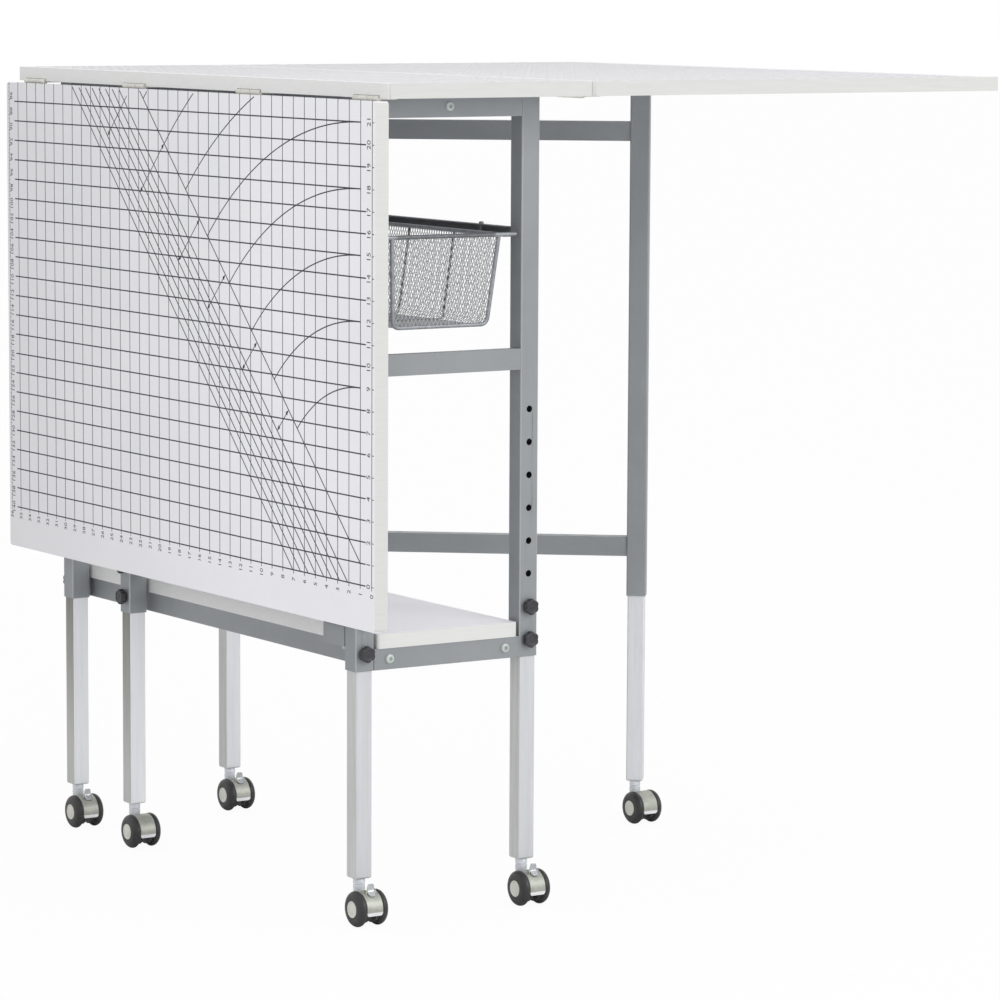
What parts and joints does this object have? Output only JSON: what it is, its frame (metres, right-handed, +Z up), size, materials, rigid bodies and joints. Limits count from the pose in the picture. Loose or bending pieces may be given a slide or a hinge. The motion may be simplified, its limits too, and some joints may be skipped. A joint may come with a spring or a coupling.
{
  "type": "folding sewing cutting table",
  "caption": "Rolling folding work table with a narrow wheeled frame, drop leaves on swing-out gate legs, a lower shelf, sliding baskets and height-adjusting legs.",
  "frame": {"origin": "bottom centre of the bounding box at rest, on the floor", "axes": "+Z up, Y along the hinges, the open leaf on the +X side and the hanging leaf on the -X side"},
  "size_m": [0.9094, 0.928, 0.9945],
  "materials": {
    "laminate": "white satin laminate on board, printed with a measuring grid",
    "frame_paint": "grey powder coat",
    "runner_black": "dark paint",
    "zinc": "zinc plate",
    "hinge_brass": "dull yellow zinc",
    "basket_steel": "silver painted wire mesh",
    "leg_silver": "satin silver",
    "caster_chrome": "chrome plate",
    "wheel_black": "moulded",
    "knob_black": "moulded"
  },
  "bodies": {
    "frame": {"centre_panel": "laminate", "shelf_board": "laminate", "post_near_left": "frame_paint", "post_far_left": "frame_paint", "post_near_right": "frame_paint", "post_far_right": "frame_paint", "end_rails_near": "frame_paint", "end_rails_far": "frame_paint", "centre_beam": "frame_paint", "side_rails": "frame_paint", "basket_runners": "runner_black", "gate_brackets_left": "frame_paint", "gate_brackets_right": "frame_paint", "frame_bolts": "zinc", "panel_hinges": "hinge_brass"},
    "left_leaf": {"left_leaf": "laminate", "left_leaf_hinges": "hinge_brass"},
    "right_leaf": {"right_leaf": "laminate", "right_leaf_hinges": "hinge_brass"},
    "left_gate": {"gate_rails_left": "frame_paint", "post_left_gate": "frame_paint"},
    "right_gate": {"gate_rails_right": "frame_paint", "post_right_gate": "frame_paint"},
    "basket_near": {"basket_near": "basket_steel"},
    "basket_far": {"basket_far": "basket_steel"},
    "leg_near_left": {"leg_near_left": "leg_silver"},
    "caster_near_left": {"caster_near_left": "caster_chrome"},
    "wheels_near_left": {"wheels_near_left": "wheel_black"},
    "brake_near_left": {"brake_near_left": "caster_chrome"},
    "knob_near_left_low": {"knob_near_left_low": "knob_black"},
    "knob_near_left_high": {"knob_near_left_high": "knob_black"},
    "leg_near_right": {"leg_near_right": "leg_silver"},
    "caster_near_right": {"caster_near_right": "caster_chrome"},
    "wheels_near_right": {"wheels_near_right": "wheel_black"},
    "brake_near_right": {"brake_near_right": "caster_chrome"},
    "knob_near_right_low": {"knob_near_right_low": "knob_black"},
    "knob_near_right_high": {"knob_near_right_high": "knob_black"},
    "leg_far_left": {"leg_far_left": "leg_silver"},
    "caster_far_left": {"caster_far_left": "caster_chrome"},
    "wheels_far_left": {"wheels_far_left": "wheel_black"},
    "brake_far_left": {"brake_far_left": "caster_chrome"},
    "knob_far_left_low": {"knob_far_left_low": "knob_black"},
    "knob_far_left_high": {"knob_far_left_high": "knob_black"},
    "leg_far_right": {"leg_far_right": "leg_silver"},
    "caster_far_right": {"caster_far_right": "caster_chrome"},
    "wheels_far_right": {"wheels_far_right": "wheel_black"},
    "brake_far_right": {"brake_far_right": "caster_chrome"},
    "knob_far_right_low": {"knob_far_right_low": "knob_black"},
    "knob_far_right_high": {"knob_far_right_high": "knob_black"},
    "leg_left_gate": {"leg_left_gate": "leg_silver"},
    "caster_left_gate": {"caster_left_gate": "caster_chrome"},
    "wheels_left_gate": {"wheels_left_gate": "wheel_black"},
    "knob_left_gate_low": {"knob_left_gate_low": "knob_black"},
    "knob_left_gate_high": {"knob_left_gate_high": "knob_black"},
    "leg_right_gate": {"leg_right_gate": "leg_silver"},
    "caster_right_gate": {"caster_right_gate": "caster_chrome"},
    "wheels_right_gate": {"wheels_right_gate": "wheel_black"},
    "knob_right_gate_low": {"knob_right_gate_low": "knob_black"},
    "knob_right_gate_high": {"knob_right_gate_high": "knob_black"}
  },
  "joints": [
    {"name": "left_leaf_hinge", "type": "hinge", "parent": "frame", "child": "left_leaf", "pos_m": [-0.43715, 0, 0.977], "axis": [0, 1, 0], "range_deg": [0, 90]},
    {"name": "right_leaf_hinge", "type": "hinge", "parent": "frame", "child": "right_leaf", "pos_m": [-0.15615, 0, 0.977], "axis": [0, -1, 0], "range_deg": [0, 2]},
    {"name": "left_gate_pivot", "type": "hinge", "parent": "frame", "child": "left_gate", "pos_m": [-0.41195, -0.3306, 0.64], "axis": [0, 0, 1], "range_deg": [0, 0.25]},
    {"name": "right_gate_pivot", "type": "hinge", "parent": "frame", "child": "right_gate", "pos_m": [-0.18135, 0.3306, 0.64], "axis": [0, 0, 1], "range_deg": [-51, 39]},
    {"name": "basket_near_slide", "type": "slide", "parent": "frame", "child": "basket_near", "axis": [0, -1, 0], "range_m": [-0.05, 0.22]},
    {"name": "basket_far_slide", "type": "slide", "parent": "frame", "child": "basket_far", "axis": [0, 1, 0], "range_m": [-0.05, 0.22]},
    {"name": "leg_near_left_slide", "type": "slide", "parent": "frame", "child": "leg_near_left", "axis": [0, 0, 1], "range_m": [0, 0.238]},
    {"name": "caster_near_left_swivel", "type": "hinge", "parent": "leg_near_left", "child": "caster_near_left", "pos_m": [-0.41145, -0.3583, 0.055], "axis": [0, 0, 1], "continuous": true},
    {"name": "wheels_near_left_roll", "type": "hinge", "parent": "caster_near_left", "child": "wheels_near_left", "pos_m": [-0.41145, -0.3753, 0.0215], "axis": [1, 0, 0], "continuous": true},
    {"name": "brake_near_left_lever", "type": "hinge", "parent": "caster_near_left", "child": "brake_near_left", "pos_m": [-0.41145, -0.3838, 0.043], "axis": [1, 0, 0], "range_deg": [-15, 3]},
    {"name": "knob_near_left_low_turn", "type": "hinge", "parent": "frame", "child": "knob_near_left_low", "pos_m": [-0.41145, -0.371, 0.3245], "axis": [0, -1, 0], "range_deg": [0, 360]},
    {"name": "knob_near_left_high_turn", "type": "hinge", "parent": "frame", "child": "knob_near_left_high", "pos_m": [-0.41145, -0.371, 0.3642], "axis": [0, -1, 0], "range_deg": [0, 360]},
    {"name": "leg_near_right_slide", "type": "slide", "parent": "frame", "child": "leg_near_right", "axis": [0, 0, 1], "range_m": [0, 0.238]},
    {"name": "caster_near_right_swivel", "type": "hinge", "parent": "leg_near_right", "child": "caster_near_right", "pos_m": [-0.18185, -0.3583, 0.055], "axis": [0, 0, 1], "continuous": true},
    {"name": "wheels_near_right_roll", "type": "hinge", "parent": "caster_near_right", "child": "wheels_near_right", "pos_m": [-0.18185, -0.3753, 0.0215], "axis": [1, 0, 0], "continuous": true},
    {"name": "brake_near_right_lever", "type": "hinge", "parent": "caster_near_right", "child": "brake_near_right", "pos_m": [-0.18185, -0.3838, 0.043], "axis": [1, 0, 0], "range_deg": [-15, 3]},
    {"name": "knob_near_right_low_turn", "type": "hinge", "parent": "frame", "child": "knob_near_right_low", "pos_m": [-0.18185, -0.371, 0.3245], "axis": [0, -1, 0], "range_deg": [0, 360]},
    {"name": "knob_near_right_high_turn", "type": "hinge", "parent": "frame", "child": "knob_near_right_high", "pos_m": [-0.18185, -0.371, 0.3642], "axis": [0, -1, 0], "range_deg": [0, 360]},
    {"name": "leg_far_left_slide", "type": "slide", "parent": "frame", "child": "leg_far_left", "axis": [0, 0, 1], "range_m": [0, 0.238]},
    {"name": "caster_far_left_swivel", "type": "hinge", "parent": "leg_far_left", "child": "caster_far_left", "pos_m": [-0.41145, 0.3583, 0.055], "axis": [0, 0, 1], "continuous": true},
    {"name": "wheels_far_left_roll", "type": "hinge", "parent": "caster_far_left", "child": "wheels_far_left", "pos_m": [-0.41145, 0.3413, 0.0215], "axis": [1, 0, 0], "continuous": true},
    {"name": "brake_far_left_lever", "type": "hinge", "parent": "caster_far_left", "child": "brake_far_left", "pos_m": [-0.41145, 0.3328, 0.043], "axis": [1, 0, 0], "range_deg": [-15, 3]},
    {"name": "knob_far_left_low_turn", "type": "hinge", "parent": "frame", "child": "knob_far_left_low", "pos_m": [-0.41145, 0.371, 0.3245], "axis": [0, 1, 0], "range_deg": [0, 360]},
    {"name": "knob_far_left_high_turn", "type": "hinge", "parent": "frame", "child": "knob_far_left_high", "pos_m": [-0.41145, 0.371, 0.3642], "axis": [0, 1, 0], "range_deg": [0, 360]},
    {"name": "leg_far_right_slide", "type": "slide", "parent": "frame", "child": "leg_far_right", "axis": [0, 0, 1], "range_m": [0, 0.238]},
    {"name": "caster_far_right_swivel", "type": "hinge", "parent": "leg_far_right", "child": "caster_far_right", "pos_m": [-0.18185, 0.3583, 0.055], "axis": [0, 0, 1], "continuous": true},
    {"name": "wheels_far_right_roll", "type": "hinge", "parent": "caster_far_right", "child": "wheels_far_right", "pos_m": [-0.18185, 0.3413, 0.0215], "axis": [1, 0, 0], "continuous": true},
    {"name": "brake_far_right_lever", "type": "hinge", "parent": "caster_far_right", "child": "brake_far_right", "pos_m": [-0.18185, 0.3328, 0.043], "axis": [1, 0, 0], "range_deg": [-15, 3]},
    {"name": "knob_far_right_low_turn", "type": "hinge", "parent": "frame", "child": "knob_far_right_low", "pos_m": [-0.18185, 0.371, 0.3245], "axis": [0, 1, 0], "range_deg": [0, 360]},
    {"name": "knob_far_right_high_turn", "type": "hinge", "parent": "frame", "child": "knob_far_right_high", "pos_m": [-0.18185, 0.371, 0.3642], "axis": [0, 1, 0], "range_deg": [0, 360]},
    {"name": "leg_left_gate_slide", "type": "slide", "parent": "left_gate", "child": "leg_left_gate", "axis": [0, 0, 1], "range_m": [0, 0.238]},
    {"name": "caster_left_gate_swivel", "type": "hinge", "parent": "leg_left_gate", "child": "caster_left_gate", "pos_m": [-0.41195, 0.2004, 0.055], "axis": [0, 0, 1], "continuous": true},
    {"name": "wheels_left_gate_roll", "type": "hinge", "parent": "caster_left_gate", "child": "wheels_left_gate", "pos_m": [-0.41195, 0.1834, 0.0215], "axis": [1, 0, 0], "continuous": true},
    {"name": "knob_left_gate_low_turn", "type": "hinge", "parent": "left_gate", "child": "knob_left_gate_low", "pos_m": [-0.42465, 0.2004, 0.3245], "axis": [-1, 0, 0], "range_deg": [0, 360]},
    {"name": "knob_left_gate_high_turn", "type": "hinge", "parent": "left_gate", "child": "knob_left_gate_high", "pos_m": [-0.42465, 0.2004, 0.3642], "axis": [-1, 0, 0], "range_deg": [0, 360]},
    {"name": "leg_right_gate_slide", "type": "slide", "parent": "right_gate", "child": "leg_right_gate", "axis": [0, 0, 1], "range_m": [0, 0.238]},
    {"name": "caster_right_gate_swivel", "type": "hinge", "parent": "leg_right_gate", "child": "caster_right_gate", "pos_m": [0.23131, -0.00357, 0.055], "axis": [0, 0, 1], "continuous": true},
    {"name": "wheels_right_gate_roll", "type": "hinge", "parent": "caster_right_gate", "child": "wheels_right_gate", "pos_m": [0.23131, -0.02057, 0.0215], "axis": [1, 0, 0], "continuous": true},
    {"name": "knob_right_gate_low_turn", "type": "hinge", "parent": "right_gate", "child": "knob_right_gate_low", "pos_m": [0.23931, 0.0063, 0.3245], "axis": [0.6293, 0.7771, 0], "range_deg": [0, 360]},
    {"name": "knob_right_gate_high_turn", "type": "hinge", "parent": "right_gate", "child": "knob_right_gate_high", "pos_m": [0.23931, 0.0063, 0.3642], "axis": [0.6293, 0.7771, 0], "range_deg": [0, 360]}
  ]
}
